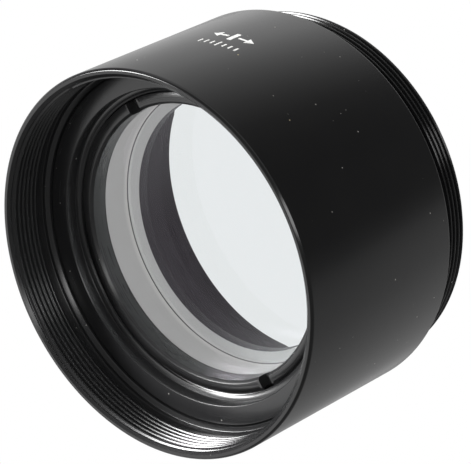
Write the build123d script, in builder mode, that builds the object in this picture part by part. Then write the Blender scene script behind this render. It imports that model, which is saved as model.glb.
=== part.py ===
from build123d import *
from math import radians, sqrt, tan
import os

# A screw-in auxiliary lens for a microscope or telescope: a cemented negative doublet held in a cell
# inside a black barrel, with a male mounting thread at the rear and a female accessory thread at the
# front. All sizes are in millimetres. +Z is the optical axis, out of the front opening. The origin is
# the centre of the end face of the male thread, so the unit stands on that face.

# ---------------------------------------------------------------- driving dimensions
# barrel, outside
body_radius = 25.5
body_length = 27.8            # plain outside, rear shoulder to front rim
front_edge_chamfer = 0.3
rear_edge_chamfer = 0.6

# mounting thread at the rear (M48 x 0.75) and its neck
neck_length = 4.7             # end face to rear shoulder
rear_shoulder_width = 1.5     # what the body stands out past the thread's crests
neck_relief_length = 1.65     # plain groove between the thread and the rear shoulder
neck_relief_depth = 0.7
end_face_chamfer = 0.35

# accessory thread at the front (M49 x 0.75) and its relief groove
front_wall = 1.0              # outside of the body to the thread's roots
front_lead_in = 0.7
front_thread_depth = 4.85     # front rim to the last crest
front_relief_depth = 6.4      # front rim to the far side of the relief groove
front_relief_cut = 0.15       # what the relief groove is cut past the thread's roots
thread_pitch = 0.75

# register bore for the cell, and the bore behind it
register_step = 0.4           # front thread's crests to the register bore
register_chamfer = 0.45       # lead-in of the register bore, at the relief groove
cell_bond_gap = 0.02          # radial gap, filled with adhesive
cell_shoulder_width = 1.85    # the ledge that the cell stands on
cell_floor_rise = 4.6         # rear shoulder to the cell's ledge
rear_bore_chamfer = 0.4

# lens cell
cell_rim_width = 2.79         # outside of the cell to its open mouth
mouth_depth = 1.65            # cell face to the ledge above the ring thread
mouth_ledge_width = 0.57      # mouth wall to the ring thread's roots
cell_edge_chamfer = 0.25
mouth_edge_chamfer = 0.12
lip_thickness = 1.4           # the lip that the lens seats on
lip_width = 1.4               # what the lip reaches in past the lens bore

# retaining ring, with its fine thread
ring_pitch = 0.5
ring_running_gap = 0.05       # radial, ring crests to cell crests
ring_thread_step = 1.3        # lens bore to the cell's ring thread crests
ring_thickness = 2.5
ring_width = 1.7
ring_recess = 0.25            # ring face below the mouth's ledge
ring_inner_chamfer = 0.35
ring_outer_chamfer = 0.15
slot_width = 2.0
slot_depth = 1.5
ring_undercut = 0.2           # ring thread carried past the glass edge, so that the ring clamps
axial_play = 0.02             # ring to washer and washer to glass

# slip washer
washer_thickness = 0.2
washer_width = 0.35

# cemented doublet
lens_clearance = 0.05         # radial, lens to lens bore
front_edge_thickness = 8.65   # crown element, at its edge
rear_edge_thickness = 1.4     # flint element, at its edge
cement_thickness = 0.03
front_curve_radius = 450.0    # concave
cemented_curve_radius = 66.0  # crown concave, flint convex
rear_curve_radius = 450.0     # concave
edge_bevel = 0.15

# pad-printed index mark
print_thickness = 0.03
print_angle = -33.6           # degrees from +X about +Z
print_pitch = 3.0             # between the two rows, along the axis
print_row_height = 17.7       # between the rows, above the end face
symbol_width = 6.4
symbol_height = 2.2
symbol_line = 0.32
tick_count = 7
tick_spacing = 0.95
tick_width = 0.24
tick_height = 0.9
long_tick_height = 1.4

# ---------------------------------------------------------------- sizes that follow
thread_depth = 0.5413 * thread_pitch
ring_thread_depth = 0.5413 * ring_pitch

male_thread_radius = body_radius - rear_shoulder_width
front_root_radius = body_radius - front_wall
front_crest_radius = front_root_radius - thread_depth
cell_bore_radius = front_crest_radius - register_step
rear_bore_radius = cell_bore_radius - cell_shoulder_width

cell_radius = cell_bore_radius - cell_bond_gap
mouth_radius = cell_radius - cell_rim_width
ring_root_radius = mouth_radius - mouth_ledge_width
ring_crest_bore = ring_root_radius - ring_thread_depth
lens_bore_radius = ring_crest_bore - ring_thread_step
lip_radius = lens_bore_radius - lip_width

ring_radius = ring_crest_bore - ring_running_gap
ring_bore_radius = ring_radius - ring_width
lens_radius = lens_bore_radius - lens_clearance
washer_bore_radius = lens_radius - washer_width

# heights, from the end face up
rim_height = neck_length + body_length
cell_floor = neck_length + cell_floor_rise
seat_height = cell_floor + lip_thickness
cement_height = seat_height + rear_edge_thickness
crown_height = cement_height + cement_thickness
glass_top = crown_height + front_edge_thickness
washer_height = glass_top + axial_play
ring_height = washer_height + washer_thickness + axial_play
ring_face = ring_height + ring_thickness
mouth_ledge = ring_face + ring_recess
cell_face = mouth_ledge + mouth_depth

overcut = 0.05                # what a cutting profile reaches past the surface that it cuts


# ---------------------------------------------------------------- helpers
def sag(curve_radius, aperture_radius):
    """Height between the middle and the edge of a spherical surface."""
    return curve_radius - sqrt(curve_radius**2 - aperture_radius**2)


def thread_grooves(crest_radius, depth, pitch, bottom, top):
    """Sections of the ring-shaped grooves of a thread between two heights.

    A positive depth cuts away from the axis, as in a nut, and a negative depth cuts towards it.
    """
    outward = 1 if depth > 0 else -1
    mouth_half = pitch * 7 / 16 + overcut * tan(radians(30))
    root_half = pitch / 8
    count = int((top - bottom) / pitch + 1e-6)
    middle = (bottom + top) / 2
    with BuildSketch(Plane.XZ) as grooves:
        with Locations((crest_radius, middle)):
            with GridLocations(pitch, pitch, 1, count):
                Polygon(
                    (-outward * overcut, -mouth_half),
                    (depth, -root_half),
                    (depth, root_half),
                    (-outward * overcut, mouth_half),
                    align=None,
                )
    return grooves.sketch


def round_edges(part, radius, height):
    """The circular edges of a part with this radius, at this height."""
    circles = part.edges().filter_by(GeomType.CIRCLE)
    at_height = circles.filter_by_position(Axis.Z, height - 0.01, height + 0.01)
    return at_height.filter_by(lambda edge: abs(edge.radius - radius) < 0.01)


os.makedirs("parts", exist_ok=True)


# ---------------------------------------------------------------- barrel
with BuildPart() as barrel:
    Cylinder(male_thread_radius, neck_length, align=(Align.CENTER, Align.CENTER, Align.MIN))
    with BuildSketch(Plane.XY.offset(neck_length)):
        Circle(body_radius)
    extrude(amount=body_length)
    # straight bore from the rear, register bore for the cell, and the threaded mouth
    with BuildSketch(Plane.XY):
        Circle(rear_bore_radius)
    extrude(amount=rim_height, mode=Mode.SUBTRACT)
    with BuildSketch(Plane.XY.offset(cell_floor)):
        Circle(cell_bore_radius)
    extrude(amount=body_length, mode=Mode.SUBTRACT)
    with BuildSketch(Plane.XY.offset(rim_height - front_relief_depth)):
        Circle(front_crest_radius)
    extrude(amount=front_relief_depth, mode=Mode.SUBTRACT)
    with BuildSketch(Plane.XY.offset(rim_height - front_relief_depth)):
        Circle(front_root_radius + front_relief_cut)
    extrude(amount=front_relief_depth - front_thread_depth, mode=Mode.SUBTRACT)
    # relief groove of the neck, between the male thread and the rear shoulder
    with BuildSketch(Plane.XY.offset(neck_length - neck_relief_length)):
        Circle(male_thread_radius + overcut)
        Circle(male_thread_radius - neck_relief_depth, mode=Mode.SUBTRACT)
    extrude(amount=neck_relief_length, mode=Mode.SUBTRACT)
    # edges, broken before the threads are cut
    chamfer(round_edges(barrel.part, body_radius, rim_height), front_edge_chamfer)
    chamfer(round_edges(barrel.part, body_radius, neck_length), rear_edge_chamfer)
    chamfer(round_edges(barrel.part, front_crest_radius, rim_height), front_lead_in)
    chamfer(round_edges(barrel.part, cell_bore_radius, rim_height - front_relief_depth), register_chamfer)
    chamfer(round_edges(barrel.part, male_thread_radius, 0), end_face_chamfer)
    chamfer(round_edges(barrel.part, rear_bore_radius, 0), rear_bore_chamfer)
    # threads
    revolve(
        thread_grooves(
            male_thread_radius, -thread_depth, thread_pitch,
            end_face_chamfer, neck_length - neck_relief_length,
        ),
        axis=Axis.Z,
        mode=Mode.SUBTRACT,
    )
    revolve(
        thread_grooves(
            front_crest_radius, thread_depth, thread_pitch,
            rim_height - front_thread_depth, rim_height - front_lead_in,
        ),
        axis=Axis.Z,
        mode=Mode.SUBTRACT,
    )
barrel.part.label = "barrel"


# ---------------------------------------------------------------- lens cell
with BuildPart() as lens_cell:
    with BuildSketch(Plane.XY.offset(cell_floor)):
        Circle(cell_radius)
        Circle(lip_radius, mode=Mode.SUBTRACT)
    extrude(amount=cell_face - cell_floor)
    with BuildSketch(Plane.XY.offset(seat_height)):
        Circle(lens_bore_radius)
    extrude(amount=cell_face - seat_height, mode=Mode.SUBTRACT)
    with BuildSketch(Plane.XY.offset(glass_top - ring_undercut)):
        Circle(ring_crest_bore)
    extrude(amount=cell_face - glass_top + ring_undercut, mode=Mode.SUBTRACT)
    with BuildSketch(Plane.XY.offset(mouth_ledge)):
        Circle(mouth_radius)
    extrude(amount=mouth_depth, mode=Mode.SUBTRACT)
    chamfer(round_edges(lens_cell.part, cell_radius, cell_face), cell_edge_chamfer)
    chamfer(round_edges(lens_cell.part, mouth_radius, cell_face), mouth_edge_chamfer)
    revolve(
        thread_grooves(
            ring_crest_bore, ring_thread_depth, ring_pitch, glass_top, mouth_ledge,
        ),
        axis=Axis.Z,
        mode=Mode.SUBTRACT,
    )
lens_cell.part.label = "lens_cell"


# ---------------------------------------------------------------- doublet
front_vertex = glass_top - sag(front_curve_radius, lens_radius - edge_bevel)
crown_vertex = crown_height + sag(cemented_curve_radius, lens_radius)
cement_vertex = cement_height + sag(cemented_curve_radius, lens_radius)
rear_vertex = seat_height + sag(rear_curve_radius, lens_radius - edge_bevel)

with BuildPart() as front_element:
    with BuildSketch(Plane.XZ):
        with BuildLine():
            TangentArc((0, crown_vertex), (lens_radius, crown_height), tangent=(1, 0))
            Line((lens_radius, crown_height), (lens_radius, glass_top - edge_bevel))
            Line((lens_radius, glass_top - edge_bevel), (lens_radius - edge_bevel, glass_top))
            TangentArc((0, front_vertex), (lens_radius - edge_bevel, glass_top), tangent=(1, 0))
            Line((0, front_vertex), (0, crown_vertex))
        make_face()
    revolve(axis=Axis.Z)
front_element.part.label = "front_element"

with BuildPart() as cement_layer:
    with BuildSketch(Plane.XZ):
        with BuildLine():
            TangentArc((0, cement_vertex), (lens_radius, cement_height), tangent=(1, 0))
            Line((lens_radius, cement_height), (lens_radius, crown_height))
            TangentArc((0, crown_vertex), (lens_radius, crown_height), tangent=(1, 0))
            Line((0, crown_vertex), (0, cement_vertex))
        make_face()
    revolve(axis=Axis.Z)
cement_layer.part.label = "cement_layer"

with BuildPart() as rear_element:
    with BuildSketch(Plane.XZ):
        with BuildLine():
            TangentArc((0, cement_vertex), (lens_radius, cement_height), tangent=(1, 0))
            Line((lens_radius, cement_height), (lens_radius, seat_height + edge_bevel))
            Line((lens_radius, seat_height + edge_bevel), (lens_radius - edge_bevel, seat_height))
            TangentArc((0, rear_vertex), (lens_radius - edge_bevel, seat_height), tangent=(1, 0))
            Line((0, rear_vertex), (0, cement_vertex))
        make_face()
    revolve(axis=Axis.Z)
rear_element.part.label = "rear_element"


# ---------------------------------------------------------------- slip washer
with BuildPart() as slip_washer:
    with BuildSketch(Plane.XY.offset(washer_height)):
        Circle(lens_radius)
        Circle(washer_bore_radius, mode=Mode.SUBTRACT)
    extrude(amount=washer_thickness)
slip_washer.part.label = "slip_washer"


# ---------------------------------------------------------------- retaining ring
with BuildPart() as retaining_ring:
    with BuildSketch(Plane.XY.offset(ring_height)):
        Circle(ring_radius)
        Circle(ring_bore_radius, mode=Mode.SUBTRACT)
    extrude(amount=ring_thickness)
    chamfer(round_edges(retaining_ring.part, ring_bore_radius, ring_face), ring_inner_chamfer)
    chamfer(round_edges(retaining_ring.part, ring_radius, ring_face), ring_outer_chamfer)
    revolve(
        thread_grooves(ring_radius, -ring_thread_depth, ring_pitch, ring_height, ring_face),
        axis=Axis.Z,
        mode=Mode.SUBTRACT,
    )
    # two spanner slots across the face, on one diameter
    with BuildSketch(Plane.XY.offset(ring_face)):
        Rectangle(2 * ring_radius + overcut, slot_width)
    extrude(amount=-slot_depth, mode=Mode.SUBTRACT)
retaining_ring.part.label = "retaining_ring"


# ---------------------------------------------------------------- printed index mark
with BuildPart() as print_skin:
    Cylinder(
        body_radius + print_thickness, rim_height, align=(Align.CENTER, Align.CENTER, Align.MIN)
    )
    Cylinder(
        body_radius, rim_height, align=(Align.CENTER, Align.CENTER, Align.MIN), mode=Mode.SUBTRACT
    )

facing = Plane.XY.rotated((0, 0, print_angle))
print_plane = Plane(
    origin=facing.x_dir * (body_radius + 1) + Vector(0, 0, print_row_height),
    x_dir=facing.y_dir,
    z_dir=facing.x_dir,
)
with BuildPart() as index_mark:
    with BuildSketch(print_plane):
        # a diverging lens between two arrowheads, which stands for the unit's kind
        with Locations((0, -print_pitch / 2)):
            Rectangle(2 * symbol_line, symbol_height)
        for side in (-1, 1):
            with Locations((side * symbol_width / 4, -print_pitch / 2)):
                Rectangle(symbol_width / 4, symbol_line)
            with Locations((side * symbol_width / 2, -print_pitch / 2)):
                Polygon(
                    (0, 0),
                    (-side * symbol_height / 2, symbol_height / 3),
                    (-side * symbol_height / 2, -symbol_height / 3),
                    align=None,
                )
        # a row of index ticks, the middle one longer
        with Locations((0, print_pitch / 2)):
            with GridLocations(tick_spacing, 1, tick_count, 1):
                Rectangle(tick_width, tick_height)
            Rectangle(tick_width, long_tick_height)
    extrude(amount=-2)
    add(print_skin.part, mode=Mode.INTERSECT)
index_mark.part.label = "index_mark"


# ---------------------------------------------------------------- files
pieces = (
    barrel, lens_cell, front_element, cement_layer, rear_element, slip_washer, retaining_ring, index_mark,
)
for piece in pieces:
    export_step(piece.part, f"parts/{piece.part.label}.step")
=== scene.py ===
"""A screw-in auxiliary lens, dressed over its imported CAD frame.

Lengths are metres. +Z is the optical axis, and the origin is the middle of the rear end face.
"""

import logging
import math
from dataclasses import dataclass
from enum import Enum
from typing import Any, Callable, Optional, Sequence, Union

import bmesh
import bpy
from bmesh.types import BMEdge, BMesh, BMVert
from mathutils import Matrix, Quaternion, Vector


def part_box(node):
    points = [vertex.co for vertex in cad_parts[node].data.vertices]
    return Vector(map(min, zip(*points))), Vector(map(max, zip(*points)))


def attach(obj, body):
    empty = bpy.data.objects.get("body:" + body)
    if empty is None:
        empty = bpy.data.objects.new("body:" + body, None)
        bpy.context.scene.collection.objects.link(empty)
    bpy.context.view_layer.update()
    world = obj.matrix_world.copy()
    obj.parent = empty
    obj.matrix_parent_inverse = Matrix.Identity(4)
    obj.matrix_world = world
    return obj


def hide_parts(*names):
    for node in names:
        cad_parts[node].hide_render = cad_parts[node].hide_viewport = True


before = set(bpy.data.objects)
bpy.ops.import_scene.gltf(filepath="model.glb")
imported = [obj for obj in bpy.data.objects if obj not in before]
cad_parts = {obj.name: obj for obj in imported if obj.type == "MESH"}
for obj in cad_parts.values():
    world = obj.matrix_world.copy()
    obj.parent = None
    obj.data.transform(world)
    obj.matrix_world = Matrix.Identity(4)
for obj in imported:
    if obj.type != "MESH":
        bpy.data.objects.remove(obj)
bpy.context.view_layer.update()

MM = 0.001
FULL_TURN = math.tau
# Depth of a sixty-degree thread, as a share of its pitch.
THREAD_FORM = 0.5413
# Points closer than this are one point.
WELD = 1e-8
# Keeps a division by a distance from failing on the axis.
TINY = 1e-6
BEVEL_STEPS = 3
WHITE = (1.0, 1.0, 1.0, 1.0)
LOG = logging.getLogger("auxiliary_lens")

Colour = tuple[float, float, float]
Place = tuple[float, float, float]


# ---------------------------------------------------------------- names shared with the frame
class Body(Enum):
    """Bodies of the frame that pieces ride on."""

    ROOT = "root"
    WASHER = "washer"
    RING = "ring"


class Slot(Enum):
    """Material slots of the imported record."""

    GLOSS_BLACK = "black_anodised"
    MATT_BLACK = "black_matt_anodised"
    FILM = "black_film"
    CROWN = "crown_glass"
    FLINT = "flint_glass"
    CEMENT = "optical_cement"
    INK = "white_print"


class Side(Enum):
    """Kinds of face on a lens element, in the order of its finishes."""

    POLISHED = 0
    BONDED = 1
    GROUND = 2
    BEVEL = 3


class Zone(Enum):
    """Parts of the barrel that were machined alike, in the order of their finishes."""

    OUTSIDE = 0
    MOUTH = 1
    BORE = 2


@dataclass(frozen=True)
class Turned:
    """Radius and heights of a turned CAD node."""

    radius: float
    low: float
    high: float

    @classmethod
    def of(cls, node: str) -> "Turned":
        """Reads the extent of a CAD node from its box."""
        low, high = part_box(node)
        return cls(high.x, low.z, high.z)


# ---------------------------------------------------------------- shader maths
class Wire:
    """A shader socket that takes part in Python expressions."""

    def __init__(self, recipe: "Recipe", socket: bpy.types.NodeSocket) -> None:
        """Keeps the socket and the recipe that its nodes belong to."""
        self.recipe = recipe
        self.socket = socket

    def maths(self, operation: str, *values: Union["Wire", float]) -> "Wire":
        """Adds one Math node.

        Args:
            operation: Name of the operation.
            values: Its operands, in order.

        Returns:
            The node's result.
        """
        return self.recipe.node("ShaderNodeMath", {"operation": operation}, dict(enumerate(values)))

    def __add__(self, other: Union["Wire", float]) -> "Wire":
        """Sum."""
        return self.maths("ADD", self, other)

    def __sub__(self, other: Union["Wire", float]) -> "Wire":
        """Difference."""
        return self.maths("SUBTRACT", self, other)

    def __mul__(self, other: Union["Wire", float]) -> "Wire":
        """Product."""
        return self.maths("MULTIPLY", self, other)

    def __truediv__(self, other: Union["Wire", float]) -> "Wire":
        """Quotient."""
        return self.maths("DIVIDE", self, other)

    def __rsub__(self, other: float) -> "Wire":
        """Difference from a number."""
        return self.maths("SUBTRACT", other, self)

    def __rtruediv__(self, other: float) -> "Wire":
        """Quotient of a number."""
        return self.maths("DIVIDE", other, self)

    def __gt__(self, other: float) -> "Wire":
        """One where this is greater."""
        return self.maths("GREATER_THAN", self, other)

    __radd__ = __add__
    __rmul__ = __mul__

    def root(self) -> "Wire":
        """Square root."""
        return self.maths("SQRT", self)

    def size(self) -> "Wire":
        """Value without its sign."""
        return self.maths("ABSOLUTE", self)

    def ease(self, low: float, high: float) -> "Wire":
        """Rises smoothly from 0 at low to 1 at high.

        Args:
            low: Value that gives 0.
            high: Value that gives 1, which may be below low.

        Returns:
            The eased value.
        """
        flip = low > high
        start, end = (high, low) if flip else (low, high)
        to_low, to_high = (1.0, 0.0) if flip else (0.0, 1.0)
        return self.recipe.node(
            "ShaderNodeMapRange",
            {"interpolation_type": "SMOOTHSTEP"},
            {"Value": self, "From Min": start, "From Max": end, "To Min": to_low, "To Max": to_high},
        )


Operand = Union[Wire, float, int, Sequence[float]]


class Recipe:
    """A node tree under construction, for a material or for the studio's surroundings."""

    def __init__(self, owner: Union[bpy.types.Material, bpy.types.World]) -> None:
        """Empties the owner's node tree and keeps it."""
        owner.use_nodes = True
        self.owner = owner
        self.tree = owner.node_tree
        self.tree.nodes.clear()

    def add(
        self,
        kind: str,
        settings: Optional[dict[str, Any]] = None,
        inputs: Optional[dict[Union[str, int], Operand]] = None,
    ) -> bpy.types.Node:
        """Adds a node, its settings first and then its sockets.

        Args:
            kind: The node's type.
            settings: Properties of the node; stops holds a ramp's positions and values.
            inputs: Values or wires by socket name or place.

        Returns:
            The node.
        """
        made = self.tree.nodes.new(kind)
        for name, value in (settings or {}).items():
            if name == "stops":
                self._fill_ramp(made.color_ramp, value)
            else:
                setattr(made, name, value)
        for name, value in (inputs or {}).items():
            if isinstance(value, Wire):
                self.tree.links.new(value.socket, made.inputs[name])
            else:
                made.inputs[name].default_value = value
        return made

    def node(
        self,
        kind: str,
        settings: Optional[dict[str, Any]] = None,
        inputs: Optional[dict[Union[str, int], Operand]] = None,
        output: Union[str, int] = 0,
    ) -> Wire:
        """Adds a node as add does and returns one of its outputs, by name or place."""
        return Wire(self, self.add(kind, settings, inputs).outputs[output])

    @staticmethod
    def _fill_ramp(ramp: bpy.types.ColorRamp, stops: Sequence[tuple[float, float]]) -> None:
        """Sets a grey ramp from positions and values."""
        while len(ramp.elements) < len(stops):
            ramp.elements.new(1.0)
        for element, (place, value) in zip(ramp.elements, stops):
            element.position = place
            element.color = (value, value, value, 1.0)

    def place(self) -> Wire:
        """Object coordinates in millimetres."""
        coordinates = self.node("ShaderNodeTexCoord", output="Object")
        return self.node(
            "ShaderNodeVectorMath", {"operation": "SCALE"}, {0: coordinates, "Scale": 1.0 / MM}
        )

    def split(self, vector: Wire) -> tuple[Wire, Wire, Wire]:
        """The three components of a vector."""
        first = self.node("ShaderNodeSeparateXYZ", inputs={0: vector})
        outputs = first.socket.node.outputs
        return first, Wire(self, outputs[1]), Wire(self, outputs[2])

    def noise(self, scale: float, detail: float = 2.0) -> Wire:
        """Plain noise over the surface, from 0 to 1, with its scale per millimetre."""
        return self.node(
            "ShaderNodeTexNoise",
            {"noise_dimensions": "3D"},
            {"Vector": self.place(), "Scale": scale, "Detail": detail},
        )

    def turned_noise(self, density: float, drift: float) -> Wire:
        """Noise that is fine across the turning marks and long round the axis.

        Args:
            density: Marks per millimetre, along the radius and along the axis.
            drift: How much the marks change on the way round.

        Returns:
            The noise, from 0 to 1.
        """
        across, along, height = self.split(self.place())
        reach = (across * across + along * along + TINY).root()
        vector = self.node(
            "ShaderNodeCombineXYZ",
            inputs={0: reach * density, 1: height * density, 2: across / reach * drift},
        )
        return self.node(
            "ShaderNodeTexNoise",
            {"noise_dimensions": "4D"},
            {"Vector": vector, "W": along / reach * drift, "Scale": 1.0, "Detail": 3.0},
        )

    def specks(self, spacing: float, size: float, share: float) -> Wire:
        """Scattered specks of dust.

        Args:
            spacing: Distance between places where a speck can lie, in millimetres.
            size: Radius of the largest speck, in millimetres.
            share: Share of the places that hold one, from 0 to 1.

        Returns:
            A mask that is 1 on a speck.
        """
        cells = self.node(
            "ShaderNodeTexVoronoi",
            {"feature": "F1"},
            {"Vector": self.place(), "Scale": 1.0 / spacing, "Randomness": 1.0},
        )
        tint = Wire(self, cells.socket.node.outputs["Color"])
        red, green, _ = self.split(tint)
        reach = size / spacing
        inside = (cells / (green * 0.7 + 0.3)).ease(reach, reach * 0.6)
        return inside * (red > 1.0 - share)

    def blend(self, amount: Union[Wire, float], low: Operand, high: Operand) -> Wire:
        """Mixes two colours, given as wires or as red, green and blue."""
        pair = [value if isinstance(value, Wire) else (*value, 1.0) for value in (low, high)]
        return self.node(
            "ShaderNodeMix", {"data_type": "RGBA"}, {0: amount, 6: pair[0], 7: pair[1]}, output=2
        )

    def bump(self, height: Wire, depth: float, under: Optional[Wire] = None) -> Wire:
        """Turns a height from 0 to 1 into a normal.

        Args:
            height: The height.
            depth: What a height of 1 stands for, in metres.
            under: A normal that this one is added to.

        Returns:
            The normal.
        """
        inputs: dict[Union[str, int], Operand] = {"Height": height, "Distance": depth, "Strength": 1.0}
        if under is not None:
            inputs["Normal"] = under
        return self.node("ShaderNodeBump", inputs=inputs)

    def principled(self, **inputs: Operand) -> Wire:
        """Adds a Principled shader, with an underscore for each space in its sockets' names."""
        named = {name.replace("_", " "): value for name, value in inputs.items()}
        return self.node("ShaderNodeBsdfPrincipled", inputs=named)

    def close(self, shader: Wire) -> Union[bpy.types.Material, bpy.types.World]:
        """Links a shader to the output and returns the owner."""
        kind = "World" if isinstance(self.owner, bpy.types.World) else "Material"
        self.add("ShaderNodeOutput" + kind, inputs={"Surface": shader})
        return self.owner


# ---------------------------------------------------------------- finishes
@dataclass(frozen=True)
class BlackAnodise:
    """Black anodised aluminium that was turned on a lathe."""

    name: str
    tone: float = 0.005
    roughness: float = 0.14
    index: float = 1.5
    cloud_density: float = 0.16
    mark_density: float = 9.0
    mark_drift: float = 1.6
    mark_depth: float = 0.4e-6
    peel_density: float = 11.0
    peel_depth: float = 0.6e-6
    dust: float = 0.5
    dust_size: float = 0.11
    dust_spacing: float = 1.4
    dust_colour: Colour = (0.42, 0.41, 0.38)
    lint_spacing: float = 5.3
    lint_colour: Colour = (0.5, 0.42, 0.24)

    def material(self) -> bpy.types.Material:
        """Makes the material."""
        recipe = Recipe(bpy.data.materials.new(self.name))
        cloud = recipe.noise(self.cloud_density, 3.0)
        marks = recipe.turned_noise(self.mark_density, self.mark_drift)
        grain = recipe.noise(self.peel_density)
        dust = recipe.specks(self.dust_spacing, self.dust_size, self.dust)
        lint = recipe.specks(self.lint_spacing, self.dust_size * 1.3, self.dust)
        low = (self.tone * 0.75, self.tone * 0.76, self.tone * 0.8)
        high = (self.tone * 1.3, self.tone * 1.3, self.tone * 1.34)
        dye = recipe.blend(cloud * 0.6 + marks * 0.4, low, high)
        dusted = recipe.blend(dust * 0.75, dye, self.dust_colour)
        uneven = (cloud - 0.5) * 0.05 + (marks - 0.5) * 0.06
        peel = recipe.bump(grain, self.peel_depth)
        return recipe.close(
            recipe.principled(
                Base_Color=recipe.blend(lint * 0.8, dusted, self.lint_colour),
                Roughness=uneven + (self.roughness + (dust + lint) * 0.5),
                Metallic=0.0,
                IOR=self.index,
                Normal=recipe.bump(marks, self.mark_depth, peel),
            )
        )


@dataclass(frozen=True)
class PolishedGlass:
    """An optically polished and coated face, with a few specks of dust on it."""

    name: str
    tint: Colour = (0.914, 0.929, 0.937)
    index: float = 1.55
    coating: Colour = (0.16, 0.11, 0.18)
    shadow: Colour = (0.9, 0.92, 0.92)
    wipe_density: float = 0.5
    dust: float = 0.03
    dust_size: float = 0.05
    dust_spacing: float = 1.9
    dust_colour: Colour = (0.5, 0.5, 0.48)

    def material(self) -> bpy.types.Material:
        """Makes the material. Light that only casts shadows goes straight through."""
        recipe = Recipe(bpy.data.materials.new(self.name))
        wipe = recipe.noise(self.wipe_density, 3.0)
        dust = recipe.specks(self.dust_spacing, self.dust_size, self.dust)
        paler = tuple(min(1.0, value * 1.015) for value in self.tint)
        glass = recipe.principled(
            Base_Color=recipe.blend(wipe, self.tint, paler),
            Roughness=wipe * 0.006,
            IOR=self.index,
            Specular_Tint=(*self.coating, 1.0),
            Transmission_Weight=1.0,
        )
        speck = recipe.principled(Base_Color=(*self.dust_colour, 1.0), Roughness=0.9)
        dusty = recipe.node("ShaderNodeMixShader", inputs={0: dust * 0.5, 1: glass, 2: speck})
        clear = recipe.node("ShaderNodeBsdfTransparent", inputs={"Color": (*self.shadow, 1.0)})
        casts = recipe.node("ShaderNodeLightPath", output="Is Shadow Ray")
        return recipe.close(recipe.node("ShaderNodeMixShader", inputs={0: casts, 1: dusty, 2: clear}))


@dataclass(frozen=True)
class BondedGlass:
    """A face that is cemented to the next element, so that almost nothing shows of it."""

    name: str
    veil: float = 0.01
    haze_density: float = 1.2
    clear_tint: Colour = (0.99, 1.0, 1.0)
    thin_haze: Colour = (0.7, 0.72, 0.7)
    thick_haze: Colour = (0.8, 0.8, 0.78)

    def material(self) -> bpy.types.Material:
        """Makes the material."""
        recipe = Recipe(bpy.data.materials.new(self.name))
        haze = recipe.noise(self.haze_density, 3.0)
        clear = recipe.node("ShaderNodeBsdfTransparent", inputs={"Color": (*self.clear_tint, 1.0)})
        pale = recipe.blend(haze, self.thin_haze, self.thick_haze)
        film = recipe.principled(Base_Color=pale, Roughness=0.4)
        amount = haze.ease(0.55, 0.9) * self.veil
        return recipe.close(recipe.node("ShaderNodeMixShader", inputs={0: amount, 1: clear, 2: film}))


@dataclass(frozen=True)
class GroundGlass:
    """The fine-ground edge of a lens element, with painted light: its emission stands in for the light that
    reaches it through the glass.

    The painted glow is strongest at the joint between the elements, whose height is given.
    """

    name: str
    tone: float = 0.12
    # Strength of the painted glow, an emission that stands in for light through the glass.
    glow: float = 0.27
    cloud_density: float = 0.35
    mark_density: float = 3.0
    mark_drift: float = 1.2
    grain_density: float = 24.0
    grain_depth: float = 3.0e-6
    joint: float = 0.0
    joint_reach: float = 1.8
    dim_light: Colour = (0.92, 0.9, 0.9)
    full_light: Colour = (1.02, 1.0, 1.0)
    joint_light: Colour = (1.35, 1.33, 1.3)

    def material(self) -> bpy.types.Material:
        """Makes the material."""
        recipe = Recipe(bpy.data.materials.new(self.name))
        cloud = recipe.noise(self.cloud_density, 3.0)
        marks = recipe.turned_noise(self.mark_density, self.mark_drift)
        grain = recipe.noise(self.grain_density)
        frost = cloud * 0.5 + marks * 0.35 + grain * 0.15
        _, _, height = recipe.split(recipe.place())
        away = (height - self.joint / MM).size()
        # Painted light: the glow rises towards the joint, a painted highlight along it.
        painted_joint_light = away.ease(self.joint_reach, self.joint_reach * 0.4)
        light = recipe.blend(frost, self.dim_light, self.full_light)
        return recipe.close(
            recipe.principled(
                Base_Color=recipe.blend(frost, (self.tone * 0.9,) * 3, (self.tone * 1.05,) * 3),
                # Painted light: emission on an edge that is no lamp.
                Emission_Color=recipe.blend(painted_joint_light * 0.7, light, self.joint_light),
                Emission_Strength=self.glow,
                Roughness=grain * 0.2 + 0.5,
                Normal=recipe.bump(grain, self.grain_depth),
            )
        )


@dataclass(frozen=True)
class PlasticFilm:
    """Punched black polyester film."""

    name: str
    tone: float = 0.02
    cloud_density: float = 0.8
    grain_density: float = 18.0
    grain_depth: float = 2.0e-6

    def material(self) -> bpy.types.Material:
        """Makes the material."""
        recipe = Recipe(bpy.data.materials.new(self.name))
        cloud = recipe.noise(self.cloud_density, 3.0)
        grain = recipe.noise(self.grain_density)
        return recipe.close(
            recipe.principled(
                Base_Color=recipe.blend(cloud, (self.tone * 0.8,) * 3, (self.tone * 1.25,) * 3),
                Roughness=grain * 0.15 + 0.5,
                Normal=recipe.bump(grain, self.grain_depth),
            )
        )


@dataclass(frozen=True)
class PadInk:
    """White pad-printed ink, a little thinner in places."""

    name: str
    colour: Colour = (0.84, 0.84, 0.82)
    thin_density: float = 2.2
    pit_density: float = 9.0
    pit_depth: float = 4.0e-6

    def material(self) -> bpy.types.Material:
        """Makes the material."""
        recipe = Recipe(bpy.data.materials.new(self.name))
        thin = recipe.noise(self.thin_density, 3.0)
        pits = recipe.noise(self.pit_density)
        weak = tuple(value * 0.72 for value in self.colour)
        return recipe.close(
            recipe.principled(
                Base_Color=recipe.blend(thin.ease(0.35, 0.55), weak, self.colour),
                Roughness=pits * 0.2 + 0.4,
                Normal=recipe.bump(pits, self.pit_depth),
            )
        )


# ---------------------------------------------------------------- turned shapes
@dataclass(frozen=True)
class Corner:
    """One corner of a turned section.

    A rounding breaks its edge, and rows divides the stretch up to the next corner.
    """

    radius: float
    height: float
    rounding: float = 0.0
    rows: int = 0


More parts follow.
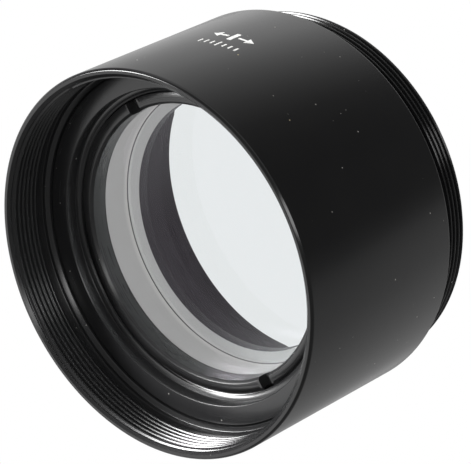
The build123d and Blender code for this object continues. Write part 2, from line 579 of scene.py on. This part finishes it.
@dataclass(frozen=True)
class Thread:
    """A right-hand sixty-degree screw thread, cut into whatever surface the section has there.

    The side is 1 where it is cut away from the axis, as in a nut, and -1 where towards it.
    """

    crest: float
    side: float
    pitch: float
    low: float
    high: float
    root_flat: float = 0.25
    crest_flat: float = 0.125
    slack: float = 1e-7

    @property
    def depth(self) -> float:
        """Way from the crests to the roots, negative towards the axis."""
        return self.side * THREAD_FORM * self.pitch

    def radius(self, angle: float, height: float) -> float:
        """Radius of the thread's own surface at an angle and a height."""
        turns = height / self.pitch - angle / FULL_TURN
        from_root = abs(turns - math.floor(turns) - 0.5) * 2.0
        flank = (from_root - self.root_flat) / (1.0 - self.root_flat - self.crest_flat)
        flank = min(max(flank, 0.0), 1.0)
        eased = 0.5 * flank + 0.5 * flank * flank * (3.0 - 2.0 * flank)
        return self.crest + self.depth * (1.0 - eased)

    def owns(self, radius: float, height: float) -> bool:
        """Whether a point of the section lies where this thread is cut."""
        near, far = sorted((self.crest, self.crest + self.depth))
        within = near - self.slack < radius < far + self.slack
        return within and self.low - self.slack < height < self.high + self.slack


def rows(length: float, pitch: float, per_pitch: int) -> int:
    """Rows that a threaded stretch of a length needs, at so many rows to a pitch."""
    return round(length / pitch * per_pitch)


class Lathe:
    """Lays out a section in a bmesh, turns it about the axis and finishes it as a piece."""

    def __init__(self, segments: int) -> None:
        """Starts an empty mesh with a number of segments round the axis."""
        self.segments = segments
        self.mesh: BMesh = bmesh.new()
        self.threaded: set[BMVert] = set()

    def section(self, corners: Sequence[Corner]) -> None:
        """Lays out a closed section, divides its stretches and breaks its edges."""
        points = [self.mesh.verts.new((corner.radius, 0.0, corner.height)) for corner in corners]
        stretches = [
            self.mesh.edges.new((start, end)) for start, end in zip(points, points[1:] + points[:1])
        ]
        for stretch, corner in zip(stretches, corners):
            if corner.rows:
                bmesh.ops.subdivide_edges(self.mesh, edges=[stretch], cuts=corner.rows)
        for corner in corners:
            if corner.rounding:
                bmesh.ops.bevel(
                    self.mesh,
                    geom=[self.nearest(corner)],
                    offset=corner.rounding,
                    offset_type="OFFSET",
                    segments=BEVEL_STEPS,
                    profile=0.5,
                    affect="VERTICES",
                    material=-1,
                )

    def nearest(self, corner: Corner) -> BMVert:
        """The point of the section that lies at a corner."""
        wanted = Vector((corner.radius, 0.0, corner.height))
        return min(self.mesh.verts, key=lambda point: (point.co - wanted).length_squared)

    def arc(self, apex: float, curve: float, reach: float, steps: int) -> BMVert:
        """Draws the section of a spherical face, out from the axis.

        Args:
            apex: Height of the face on the axis.
            curve: Radius of curvature, positive when its centre is above the face.
            reach: Radius that the face ends at.
            steps: Number of stretches.

        Returns:
            The point at the face's edge.
        """
        start = self.mesh.verts.new((0.0, 0.0, apex))
        swept = bmesh.ops.spin(
            self.mesh,
            geom=[start],
            cent=(0.0, 0.0, apex + curve),
            axis=(0.0, 1.0, 0.0),
            angle=-math.asin(reach / curve),
            steps=steps,
        )
        return next(item for item in swept["geom_last"] if isinstance(item, BMVert))

    def chain(self, points: Sequence[Union[BMVert, tuple[float, float]]]) -> None:
        """Joins points in a row, each an existing one or a new one at a radius and a height."""
        row = [
            point if isinstance(point, BMVert) else self.mesh.verts.new((point[0], 0.0, point[1]))
            for point in points
        ]
        for start, end in zip(row, row[1:]):
            self.mesh.edges.new((start, end))

    def turn(self) -> None:
        """Spins the section through a full turn and closes it."""
        bmesh.ops.spin(
            self.mesh,
            geom=list(self.mesh.verts) + list(self.mesh.edges),
            cent=(0.0, 0.0, 0.0),
            axis=(0.0, 0.0, 1.0),
            angle=FULL_TURN,
            steps=self.segments,
            use_merge=True,
        )
        bmesh.ops.remove_doubles(self.mesh, verts=self.mesh.verts, dist=WELD)
        bmesh.ops.recalc_face_normals(self.mesh, faces=self.mesh.faces)

    def cut(self, thread: Thread) -> None:
        """Moves the turned surface in or out to a thread, where the thread goes deeper."""
        for point in self.mesh.verts:
            radius = math.hypot(point.co.x, point.co.y)
            if not thread.owns(radius, point.co.z):
                continue
            wanted = thread.radius(math.atan2(point.co.y, point.co.x), point.co.z)
            wanted = max(radius, wanted) if thread.depth > 0 else min(radius, wanted)
            point.co.x *= wanted / radius
            point.co.y *= wanted / radius
            self.threaded.add(point)

    def paint(self, rule: Callable[[Vector, Vector], int]) -> None:
        """Gives each face a finish by its middle and its normal."""
        self.mesh.normal_update()
        for face in self.mesh.faces:
            face.material_index = rule(face.calc_center_median(), face.normal)

    def piece(
        self, name: str, finishes: Sequence[bpy.types.Material], crease: float = 24.0
    ) -> bpy.types.Object:
        """Ends the mesh and makes it an object.

        Args:
            name: The piece's name.
            finishes: Materials, in the order that the faces were painted in.
            crease: Angle in degrees above which an edge stays sharp.

        Returns:
            The object, at the origin.
        """
        limit = math.radians(crease)
        self.mesh.normal_update()
        for face in self.mesh.faces:
            face.smooth = True
        for edge in self.mesh.edges:
            threaded = edge.verts[0] in self.threaded and edge.verts[1] in self.threaded
            edge.smooth = threaded or edge.calc_face_angle(0.0) < limit
        return finish_mesh(self.mesh, name, finishes)


def finish_mesh(mesh: BMesh, name: str, finishes: Sequence[bpy.types.Material]) -> bpy.types.Object:
    """Turns a bmesh into an object with its materials.

    Args:
        mesh: The bmesh, which is freed.
        name: The piece's name.
        finishes: Materials, in the order of the faces' indices.

    Returns:
        The object, at the origin.
    """
    data = bpy.data.meshes.new(name)
    mesh.to_mesh(data)
    mesh.free()
    for finish in finishes:
        data.materials.append(finish)
    piece = bpy.data.objects.new(name, data)
    bpy.context.scene.collection.objects.link(piece)
    return piece


def enrol(piece: bpy.types.Object, body: Body, slot: Slot, *nodes: str) -> bpy.types.Object:
    """Fixes a piece to its body, hides the CAD nodes that it stands for and logs it.

    Args:
        piece: The finished piece.
        body: The body that it rides on.
        slot: The record's material slot; not used.
        nodes: The CAD nodes that it replaces.

    Returns:
        The piece.
    """
    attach(piece, body.value)
    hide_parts(*nodes)
    LOG.info("%s: %d faces, on %s", piece.name, len(piece.data.polygons), body.value)
    return piece


# ---------------------------------------------------------------- barrel
@dataclass
class Barrel:
    """The one-piece barrel: plain outside, both threads, register bore and rear bore."""

    extent: Turned
    neck_height: float = 4.7 * MM
    rear_shoulder: float = 1.5 * MM
    neck_relief: float = 1.65 * MM
    neck_relief_depth: float = 0.7 * MM
    rear_edge: float = 0.6 * MM
    front_edge: float = 0.3 * MM
    end_edge: float = 0.35 * MM
    front_wall: float = 1.0 * MM
    lead_in: float = 0.7 * MM
    thread_run: float = 4.85 * MM
    relief_run: float = 6.4 * MM
    relief_cut: float = 0.15 * MM
    register_step: float = 0.4 * MM
    register_edge: float = 0.45 * MM
    ledge_height: float = 9.3 * MM
    ledge_width: float = 1.85 * MM
    bore_edge: float = 0.4 * MM
    pitch: float = 0.75 * MM
    rows_per_pitch: int = 20
    segments: int = 288
    outside: BlackAnodise = BlackAnodise("gloss_black_outside")
    mouth: BlackAnodise = BlackAnodise(
        "gloss_black_mouth", 0.012, 0.22, mark_density=7.0, mark_depth=5.0e-6, dust=0.3
    )
    bore: BlackAnodise = BlackAnodise(
        "satin_black_bore", 0.006, 0.28, mark_density=5.0, mark_depth=0.8e-6, peel_depth=0.06e-6, dust=0.15
    )

    @property
    def front_crest(self) -> float:
        """Radius at the crests of the front thread."""
        return self.extent.radius - self.front_wall - THREAD_FORM * self.pitch

    @property
    def rear_crest(self) -> float:
        """Radius at the crests of the rear thread."""
        return self.extent.radius - self.rear_shoulder

    @property
    def register_radius(self) -> float:
        """Radius of the bore that takes the cell."""
        return self.front_crest - self.register_step

    def rows(self, length: float) -> int:
        """Rows that a threaded stretch of this length needs."""
        return rows(length, self.pitch, self.rows_per_pitch)

    def corners(self) -> list[Corner]:
        """The section, from the rear shoulder round the outside and back up the inside."""
        radius, top = self.extent.radius, self.extent.high
        crest, male = self.front_crest, self.rear_crest
        relief = radius - self.front_wall + self.relief_cut
        register, bore = self.register_radius, self.register_radius - self.ledge_width
        thread_low, relief_low = top - self.thread_run, top - self.relief_run
        neck_relief_low = self.neck_height - self.neck_relief
        return [
            Corner(radius - self.rear_edge, self.neck_height, 0.06 * MM),
            Corner(radius, self.neck_height + self.rear_edge, 0.12 * MM),
            Corner(radius, top - self.front_edge, 0.1 * MM),
            Corner(radius - self.front_edge, top, 0.06 * MM),
            Corner(crest + self.lead_in, top, 0.0, self.rows(self.lead_in)),
            Corner(crest, top - self.lead_in, 0.0, self.rows(self.thread_run - self.lead_in)),
            Corner(crest, thread_low),
            Corner(relief, thread_low, 0.04 * MM),
            Corner(relief, relief_low, 0.1 * MM),
            Corner(register + self.register_edge, relief_low, 0.04 * MM),
            Corner(register, relief_low - self.register_edge, 0.08 * MM),
            Corner(register, self.ledge_height, 0.05 * MM),
            Corner(bore, self.ledge_height, 0.06 * MM),
            Corner(bore, self.bore_edge, 0.05 * MM),
            Corner(bore + self.bore_edge, self.extent.low, 0.04 * MM),
            Corner(male - self.end_edge, self.extent.low, 0.0, self.rows(self.end_edge)),
            Corner(male, self.end_edge, 0.0, self.rows(neck_relief_low - self.end_edge)),
            Corner(male, neck_relief_low),
            Corner(male - self.neck_relief_depth, neck_relief_low, 0.05 * MM),
            Corner(male - self.neck_relief_depth, self.neck_height, 0.1 * MM),
        ]

    def zone(self, middle: Vector, normal: Vector) -> int:
        """Finish of a face by its place."""
        reach = math.hypot(middle.x, middle.y)
        bore = self.register_radius - self.ledge_width + self.bore_edge
        if reach < bore and 0.02 * MM < middle.z < self.ledge_height + 0.1 * MM:
            return Zone.BORE.value
        facing_in = middle.x * normal.x + middle.y * normal.y < -0.2 * reach
        if middle.z > self.ledge_height and (facing_in or reach < self.front_crest + self.lead_in):
            return Zone.MOUTH.value
        return Zone.OUTSIDE.value

    def build(self) -> bpy.types.Object:
        """Turns the barrel and cuts its two threads."""
        lathe = Lathe(self.segments)
        lathe.section(self.corners())
        lathe.turn()
        low, top = self.extent.low, self.extent.high
        lathe.cut(Thread(self.front_crest, 1.0, self.pitch, top - self.thread_run, top))
        lathe.cut(Thread(self.rear_crest, -1.0, self.pitch, low, self.neck_height - self.neck_relief))
        lathe.paint(self.zone)
        finishes = [finish.material() for finish in (self.outside, self.mouth, self.bore)]
        piece = lathe.piece("threaded_barrel", finishes)
        return enrol(piece, Body.ROOT, Slot.GLOSS_BLACK, "barrel")


# ---------------------------------------------------------------- cell
@dataclass
class Cell:
    """The lens cell: a sleeve with a seat lip, a lens bore, a fine thread and a stepped mouth."""

    extent: Turned
    glass: Turned
    rim_width: float = 2.79 * MM
    mouth_depth: float = 1.65 * MM
    ledge_width: float = 0.57 * MM
    outer_edge: float = 0.25 * MM
    mouth_edge: float = 0.12 * MM
    lip_thickness: float = 1.4 * MM
    lip_width: float = 1.4 * MM
    lens_gap: float = 0.05 * MM
    undercut: float = 0.2 * MM
    pitch: float = 0.5 * MM
    rows_per_pitch: int = 12
    segments: int = 256
    finish: BlackAnodise = BlackAnodise(
        "satin_black_cell", 0.016, 0.26, mark_density=8.0, mark_depth=1.6e-6, dust=0.3
    )

    @property
    def mouth_radius(self) -> float:
        """Radius of the open mouth above the ring."""
        return self.extent.radius - self.rim_width

    @property
    def crest(self) -> float:
        """Radius at the crests of the fine thread."""
        return self.mouth_radius - self.ledge_width - THREAD_FORM * self.pitch

    def build(self) -> bpy.types.Object:
        """Turns the cell and cuts its fine thread."""
        outer, low, high = self.extent.radius, self.extent.low, self.extent.high
        ledge, glass_top = high - self.mouth_depth, self.glass.high
        bore = self.glass.radius + self.lens_gap
        lip = bore - self.lip_width
        seat = low + self.lip_thickness
        threaded = rows(ledge - glass_top, self.pitch, self.rows_per_pitch)
        lathe = Lathe(self.segments)
        lathe.section(
            [
                Corner(outer, low, 0.05 * MM),
                Corner(outer, high - self.outer_edge, 0.04 * MM),
                Corner(outer - self.outer_edge, high, 0.04 * MM),
                Corner(self.mouth_radius + self.mouth_edge, high, 0.03 * MM),
                Corner(self.mouth_radius, high - self.mouth_edge, 0.03 * MM),
                Corner(self.mouth_radius, ledge, 0.08 * MM),
                Corner(self.crest, ledge, 0.0, threaded),
                Corner(self.crest, glass_top),
                Corner(self.crest, glass_top - self.undercut, 0.02 * MM),
                Corner(bore, glass_top - self.undercut, 0.03 * MM),
                Corner(bore, seat, 0.05 * MM),
                Corner(lip, seat, 0.1 * MM),
                Corner(lip, low, 0.1 * MM),
            ]
        )
        lathe.turn()
        lathe.cut(Thread(self.crest, 1.0, self.pitch, glass_top, ledge))
        piece = lathe.piece("glass_cell", [self.finish.material()])
        return enrol(piece, Body.ROOT, Slot.MATT_BLACK, "lens_cell")


# ---------------------------------------------------------------- retaining ring and washer
@dataclass
class RetainingRing:
    """The threaded ring that holds the doublet, with two spanner slots across its face."""

    extent: Turned
    width: float = 1.7 * MM
    inner_edge: float = 0.35 * MM
    outer_edge: float = 0.15 * MM
    slot_width: float = 2.0 * MM
    slot_depth: float = 1.5 * MM
    pitch: float = 0.5 * MM
    rows_per_pitch: int = 12
    segments: int = 256
    edge_rows: int = 3
    slack: float = 1e-6
    finish: BlackAnodise = BlackAnodise(
        "satin_black_ring", 0.02, 0.28, mark_density=8.0, mark_depth=1.4e-6, dust=0.3
    )

    def build(self) -> bpy.types.Object:
        """Turns the ring, cuts its thread and mills the two slots."""
        outer, low, high = self.extent.radius, self.extent.low, self.extent.high
        bore = outer - self.width
        threaded = rows(high - self.outer_edge - low, self.pitch, self.rows_per_pitch)
        lathe = Lathe(self.segments)
        lathe.section(
            [
                Corner(bore, low, 0.04 * MM),
                Corner(outer, low, 0.0, threaded),
                Corner(outer, high - self.outer_edge, 0.0, self.edge_rows),
                Corner(outer - self.outer_edge, high),
                Corner(bore + self.inner_edge, high, 0.04 * MM),
                Corner(bore, high - self.inner_edge, 0.04 * MM),
            ]
        )
        lathe.turn()
        lathe.cut(Thread(outer, -1.0, self.pitch, low, high))
        self.mill(lathe.mesh, high - self.slot_depth)
        piece = lathe.piece("slotted_ring", [self.finish.material()])
        return enrol(piece, Body.RING, Slot.MATT_BLACK, "retaining_ring")

    def mill(self, mesh: BMesh, floor: float) -> None:
        """Cuts the two slots, which lie on one diameter along X.

        Args:
            mesh: The turned ring.
            floor: Height of the slots' floor.
        """
        half = self.slot_width / 2
        planes = [
            ((0.0, half, 0.0), (0.0, 1.0, 0.0)),
            ((0.0, -half, 0.0), (0.0, 1.0, 0.0)),
            ((0.0, 0.0, floor), (0.0, 0.0, 1.0)),
        ]
        for place, normal in planes:
            bmesh.ops.bisect_plane(
                mesh,
                geom=list(mesh.verts) + list(mesh.edges) + list(mesh.faces),
                dist=self.slack * 0.1,
                plane_co=place,
                plane_no=normal,
            )
        waste = [
            face
            for face in mesh.faces
            if abs(face.calc_center_median().y) < half and face.calc_center_median().z > floor
        ]
        bmesh.ops.delete(mesh, geom=waste, context="FACES")
        for side in (-1.0, 1.0):
            self.close_slot(mesh, side, half, floor)

    def close_slot(self, mesh: BMesh, side: float, half: float, floor: float) -> None:
        """Closes the floor and both walls of one slot.

        Args:
            mesh: The ring, open where the slot was cut.
            side: -1 or 1, the end of the X axis.
            half: Half of the slot's width.
            floor: Height of the slot's floor.
        """
        rim = [edge for edge in mesh.edges if edge.is_boundary and edge.verts[0].co.x * side > 0]
        new: list[BMEdge] = []
        for wall in (-half, half):
            corners = {
                point
                for edge in rim
                for point in edge.verts
                if abs(point.co.y - wall) < self.slack and abs(point.co.z - floor) < self.slack
            }
            ends = sorted(corners, key=lambda point: abs(point.co.x))
            joint = mesh.edges.new((ends[0], ends[-1]))
            new.append(joint)
            on_wall = [
                edge for edge in rim if all(abs(point.co.y - wall) < self.slack for point in edge.verts)
            ]
            bmesh.ops.contextual_create(mesh, geom=[*on_wall, joint])
        on_floor = [
            edge for edge in rim if all(abs(point.co.z - floor) < self.slack for point in edge.verts)
        ]
        bmesh.ops.contextual_create(mesh, geom=[*on_floor, *new])
        bmesh.ops.recalc_face_normals(mesh, faces=mesh.faces)


@dataclass
class SlipWasher:
    """The film washer that lets the ring turn without dragging on the glass."""

    extent: Turned
    width: float = 0.35 * MM
    edge: float = 0.04 * MM
    segments: int = 192
    finish: PlasticFilm = PlasticFilm("matt_black_film")

    def build(self) -> bpy.types.Object:
        """Turns the washer."""
        outer, low, high = self.extent.radius, self.extent.low, self.extent.high
        bore = outer - self.width
        around = [(bore, low), (outer, low), (outer, high), (bore, high)]
        lathe = Lathe(self.segments)
        lathe.section([Corner(radius, height, self.edge) for radius, height in around])
        lathe.turn()
        piece = lathe.piece("slip_film", [self.finish.material()])
        return enrol(piece, Body.WASHER, Slot.FILM, "slip_washer")


# ---------------------------------------------------------------- doublet
@dataclass
class Doublet:
    """The cemented negative doublet: crown in front, flint behind, cement between."""

    crown: Turned
    flint: Turned
    cement: Turned
    front_curve: float = 450.0 * MM
    cemented_curve: float = 66.0 * MM
    rear_curve: float = 450.0 * MM
    edge_bevel: float = 0.15 * MM
    joint_bevel: float = 0.13 * MM
    rear_flat: float = 1.4 * MM
    seat_gap: float = 0.01 * MM
    segments: int = 256
    steps: int = 24
    wall_slope: float = 0.3
    bevel_slope: float = 0.9
    crown_face: PolishedGlass = PolishedGlass("crown_polished")
    flint_face: PolishedGlass = PolishedGlass("flint_polished")
    bonded: BondedGlass = BondedGlass("bonded_face")
    # The bevel's ground glass carries a weaker painted glow.
    bevel: GroundGlass = GroundGlass("ground_bevel", tone=0.06, glow=0.05)
    joint: BlackAnodise = BlackAnodise("cement_edge", tone=0.08, roughness=0.5)

    @staticmethod
    def sag(curve: float, reach: float) -> float:
        """Height between the middle and the edge of a spherical face."""
        return curve - math.sqrt(curve * curve - reach * reach)

    def side(self, middle: Vector, normal: Vector, bonded: float) -> int:
        """Kind of an element's face.

        Args:
            middle: Middle of the face.
            normal: Its normal.
            bonded: 1 when the element is bonded on top, -1 when below.

        Returns:
            The place of its finish.
        """
        steep = normal.z * bonded
        if abs(steep) < self.wall_slope:
            return Side.GROUND.value
        if abs(steep) < self.bevel_slope:
            return (Side.BEVEL if bonded < 0 else Side.GROUND).value
        if steep > 0:
            return Side.BONDED.value
        flat = bonded > 0 and math.hypot(middle.x, middle.y) > self.flint.radius - self.rear_flat
        return Side.GROUND.value if flat else Side.POLISHED.value

    def finishes(self, face: PolishedGlass) -> list[bpy.types.Material]:
        """Materials of an element, in the order of Side."""
        # The ground edge carries painted light, strongest at the joint below the crown.
        ground = GroundGlass("ground_edge", joint=self.crown.low)
        return [face.material(), self.bonded.material(), ground.material(), self.bevel.material()]

    def build(self) -> list[bpy.types.Object]:
        """Grinds both elements and lays the cement."""
        return [self.build_crown(), self.build_flint(), self.build_cement()]

    def build_crown(self) -> bpy.types.Object:
        """The front element, concave on both sides."""
        radius, top, low = self.crown.radius, self.crown.high, self.crown.low
        reach = radius - self.edge_bevel
        back = radius - self.joint_bevel
        apex = low + self.sag(self.cemented_curve, radius)
        lathe = Lathe(self.segments)
        front = lathe.arc(top - self.sag(self.front_curve, reach), self.front_curve, reach, self.steps)
        rear = lathe.arc(apex, -self.cemented_curve, back, self.steps)
        wall = [(radius, top - self.edge_bevel), (radius, rear.co.z + self.joint_bevel)]
        lathe.chain([front, *wall, rear])
        lathe.turn()
        lathe.paint(lambda middle, normal: self.side(middle, normal, -1.0))
        piece = lathe.piece("crown_lens", self.finishes(self.crown_face))
        return enrol(piece, Body.ROOT, Slot.CROWN, "front_element")

    def build_flint(self) -> bpy.types.Object:
        """The rear element, convex towards the crown and concave behind."""
        radius, low = self.flint.radius, self.flint.low + self.seat_gap
        face = radius - self.joint_bevel
        lathe = Lathe(self.segments)
        front = lathe.arc(self.flint.high, -self.cemented_curve, face, self.steps)
        polished = radius - self.rear_flat
        rear = lathe.arc(low + self.sag(self.rear_curve, polished), -self.rear_curve, polished, self.steps)
        wall = [(radius, front.co.z - self.joint_bevel), (radius, low + self.edge_bevel)]
        lathe.chain([front, *wall, (radius - self.edge_bevel, low), rear])
        lathe.turn()
        lathe.paint(lambda middle, normal: self.side(middle, normal, 1.0))
        piece = lathe.piece("flint_lens", self.finishes(self.flint_face))
        return enrol(piece, Body.ROOT, Slot.FLINT, "rear_element")

    def build_cement(self) -> bpy.types.Object:
        """The film of cement, which shows only as a line round the edge."""
        radius = self.cement.radius - self.joint_bevel
        lathe = Lathe(self.segments)
        faces = [
            lathe.arc(apex, -self.cemented_curve, radius, self.steps)
            for apex in (self.cement.high, self.flint.high)
        ]
        lathe.chain(faces)
        lathe.turn()
        lathe.paint(lambda _, normal: int(abs(normal.z) < self.bevel_slope))
        piece = lathe.piece("cement_film", [self.bonded.material(), self.joint.material()])
        return enrol(piece, Body.ROOT, Slot.CEMENT, "cement_layer")


# ---------------------------------------------------------------- index mark
@dataclass
class IndexMark:
    """A pad-printed mark: a lens between two arrows, and a row of index ticks."""

    barrel: Turned
    low: float
    angle: float = math.radians(-33.6)
    thickness: float = 0.03 * MM
    row_pitch: float = 3.0 * MM
    symbol_width: float = 6.4 * MM
    symbol_height: float = 2.2 * MM
    line: float = 0.32 * MM
    ticks: int = 7
    tick_spacing: float = 0.95 * MM
    tick_width: float = 0.24 * MM
    tick_height: float = 0.9 * MM
    long_tick_height: float = 1.4 * MM
    column: float = 0.4 * MM
    sunk: float = 0.002 * MM
    finish: PadInk = PadInk("white_ink")

    def stroke(self, mesh: BMesh, middle: tuple[float, float], size: tuple[float, float]) -> list[BMVert]:
        """Prints one rectangle.

        Args:
            mesh: The flat print, with X round the barrel and Y along the axis.
            middle: Its middle.
            size: Its width and height.

        Returns:
            Its corners.
        """
        place = Matrix.Translation((*middle, 0.0)) @ Matrix.Diagonal((*size, 1.0, 1.0))
        columns = max(1, round(size[0] / self.column))
        made = bmesh.ops.create_grid(mesh, x_segments=columns, y_segments=1, size=0.5, matrix=place)
        return made["verts"]

    def arrow(self, mesh: BMesh, side: float, row: float) -> None:
        """Prints an arrowhead that points away from the middle."""
        length = self.symbol_height / 2
        tip = side * self.symbol_width / 2
        points = self.stroke(mesh, (tip - side * length / 2, row), (length, self.symbol_height * 2 / 3))
        for point in points:
            point.co.y = row + (point.co.y - row) * abs(tip - point.co.x) / length
        bmesh.ops.remove_doubles(mesh, verts=points, dist=WELD)

    def build(self) -> bpy.types.Object:
        """Prints the mark flat, gives it thickness and lays it round the barrel."""
        mesh = bmesh.new()
        symbol_row, tick_row = -self.row_pitch / 2, self.row_pitch / 2
        self.stroke(mesh, (0.0, symbol_row), (2 * self.line, self.symbol_height))
        for side in (-1.0, 1.0):
            self.stroke(mesh, (side * self.symbol_width / 4, symbol_row), (self.symbol_width / 4, self.line))
            self.arrow(mesh, side, symbol_row)
        for tick in range(self.ticks):
            offset = tick - (self.ticks - 1) / 2
            height = self.tick_height if offset else self.long_tick_height
            self.stroke(mesh, (offset * self.tick_spacing, tick_row), (self.tick_width, height))
        grown = bmesh.ops.extrude_face_region(mesh, geom=list(mesh.faces))
        risen = [item for item in grown["geom"] if isinstance(item, BMVert)]
        bmesh.ops.translate(mesh, verts=risen, vec=(0.0, 0.0, self.thickness))
        self.wrap(mesh)
        bmesh.ops.recalc_face_normals(mesh, faces=mesh.faces)
        piece = finish_mesh(mesh, "printed_mark", [self.finish.material()])
        return enrol(piece, Body.ROOT, Slot.INK, "index_mark")

    def wrap(self, mesh: BMesh) -> None:
        """Lays the flat print on the barrel's outside."""
        radius = self.barrel.radius
        row_height = self.low + self.symbol_height / 2 + self.row_pitch / 2
        for point in mesh.verts:
            angle = self.angle + math.asin(point.co.x / radius)
            reach = radius - self.sunk + point.co.z
            point.co = Vector((reach * math.cos(angle), reach * math.sin(angle), row_height + point.co.y))


# ---------------------------------------------------------------- studio
@dataclass(frozen=True)
class Softbox:
    """A soft light far away, by the directions that it fills as seen from the object, in degrees.

    It is full within core of its azimuth and gone past edge, and it stands from low to high.
    """

    azimuth: float
    core: float
    edge: float
    low: float
    high: float
    strength: float
    feather: float = 0.1

    def light(self, x: Wire, y: Wire, z: Wire) -> Wire:
        """What the box adds to the light from a direction, given by its components."""
        turn = math.radians(self.azimuth)
        level = (x * x + y * y).root() + TINY
        facing = (x * math.cos(turn) + y * math.sin(turn)) / level
        across = facing.ease(math.cos(math.radians(self.edge)), math.cos(math.radians(self.core)))
        low, high = math.sin(math.radians(self.low)), math.sin(math.radians(self.high))
        above = z.ease(low - self.feather, low + self.feather)
        below = z.ease(high + self.feather, high - self.feather)
        return across * above * below * self.strength


@dataclass
class Studio:
    """Pale floor, soft surroundings and the camera."""

    floor_size: float = 3.0
    floor_glow: float = 1.0
    # Glow of the floor under the barrel, lowered as painted shade.
    shade_glow: float = 0.86
    shade_reach: float = 22.0
    shade_fade: float = 2.0
    floor_gap: float = 0.02 * MM
    camera_place: Place = (0.0, -0.28213, 0.29119)
    camera_aim: Place = (-0.0015, 0.71695, -0.69713)
    camera_roll: float = -115.8
    focal_length: float = 237.08
    sensor_width: float = 36.0
    view_range: tuple[float, float] = (0.01, 20.0)
    low_light: tuple[tuple[float, float], ...] = (
        (-180.0, 0.50), (-165.0, 0.46), (-150.0, 0.44), (-139.0, 0.36), (-129.0, 0.18), (-118.0, 0.1),
        (-76.0, 0.09), (-60.0, 0.11), (-45.0, 0.17), (-30.0, 0.34), (-14.0, 0.58), (0.0, 0.78),
        (17.0, 0.93), (38.0, 0.83), (53.0, 0.8), (68.0, 0.68), (82.0, 0.55), (105.0, 0.46),
        (128.0, 0.42), (148.0, 0.48), (165.0, 0.5), (180.0, 0.50),
    )
    sky: float = 0.22
    horizon: tuple[float, float] = (-0.2, 0.12)
    softboxes: tuple[Softbox, ...] = (
        Softbox(90.0, 20.0, 50.0, 25.0, 60.0, 1.2),
        Softbox(36.0, 8.0, 18.0, 30.0, 50.0, 50.0, 0.08),
        Softbox(-35.0, 20.0, 60.0, 0.0, 22.0, 1.0),
        Softbox(-98.0, 4.0, 13.0, 10.0, 55.0, 5.0),
    )

    def surround(self) -> None:
        """Makes the surroundings: graded light from below and soft lights above."""
        world = bpy.data.worlds.new("studio")
        bpy.context.scene.world = world
        recipe = Recipe(world)
        direction = recipe.node("ShaderNodeTexCoord", output="Generated")
        x, y, z = recipe.split(direction)
        turn = y.maths("ARCTAN2", y, x) / FULL_TURN + 0.5
        stops = [(azimuth / 360.0 + 0.5, value) for azimuth, value in self.low_light]
        graded = recipe.node("ShaderNodeValToRGB", {"stops": stops}, {0: turn})
        level = z.ease(*self.horizon)
        light = graded * (1.0 - level) + level * self.sky
        for box in self.softboxes:
            light = light + box.light(x, y, z)
        studio = recipe.node("ShaderNodeBackground", inputs={"Color": light, "Strength": 1.0})
        plain = recipe.node("ShaderNodeBackground", inputs={"Color": WHITE, "Strength": 1.0})
        seen = recipe.node("ShaderNodeLightPath", output="Is Camera Ray")
        recipe.close(recipe.node("ShaderNodeMixShader", inputs={0: seen, 1: studio, 2: plain}))

    def lay_floor(self) -> bpy.types.Object:
        """Lays the pale floor that the barrel stands on, with painted shade under the barrel."""
        mesh = bmesh.new()
        bmesh.ops.create_grid(mesh, x_segments=8, y_segments=8, size=self.floor_size / 2)
        bmesh.ops.translate(mesh, verts=mesh.verts, vec=(0.0, 0.0, -self.floor_gap))
        recipe = Recipe(bpy.data.materials.new("pale_floor"))
        across, along, _ = recipe.split(recipe.place())
        reach = (across * across + along * along).root()
        # Painted shade: the floor glows less within shade_reach of the axis, where the barrel would shade
        # it.
        open_floor = reach.ease(self.shade_reach, self.shade_reach + self.shade_fade)
        glow = open_floor * (self.floor_glow - self.shade_glow) + self.shade_glow
        lit = recipe.node("ShaderNodeEmission", inputs={"Color": WHITE, "Strength": glow})
        floor = finish_mesh(mesh, "floor", [recipe.close(lit)])
        floor.visible_glossy = False
        floor.visible_shadow = False
        return floor

    def place_camera(self) -> bpy.types.Object:
        """Puts up the camera, turned about its own axis."""
        data = bpy.data.cameras.new("camera")
        data.lens = self.focal_length
        data.sensor_width = self.sensor_width
        data.clip_start, data.clip_end = self.view_range
        camera = bpy.data.objects.new("camera", data)
        bpy.context.scene.collection.objects.link(camera)
        level = Vector(self.camera_aim).to_track_quat("-Z", "Y")
        roll = Quaternion((0.0, 0.0, 1.0), math.radians(self.camera_roll))
        camera.rotation_mode = "QUATERNION"
        camera.rotation_quaternion = level @ roll
        camera.location = self.camera_place
        bpy.context.scene.camera = camera
        return camera

    def build(self) -> None:
        """Sets up the whole studio."""
        self.surround()
        self.lay_floor()
        self.place_camera()
        settings = bpy.context.scene.view_settings
        settings.view_transform = "Standard"
        settings.look = "None"


def main() -> None:
    """Builds every sub-assembly in order, then the studio round it."""
    logging.basicConfig(level=logging.INFO, format="%(name)s: %(message)s")
    barrel = Turned.of("barrel")
    crown = Turned.of("front_element")
    Barrel(barrel).build()
    Cell(Turned.of("lens_cell"), crown).build()
    Doublet(crown, Turned.of("rear_element"), Turned.of("cement_layer")).build()
    SlipWasher(Turned.of("slip_washer")).build()
    RetainingRing(Turned.of("retaining_ring")).build()
    IndexMark(barrel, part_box("index_mark")[0].z).build()
    Studio().build()


if __name__ == "__main__":
    main()
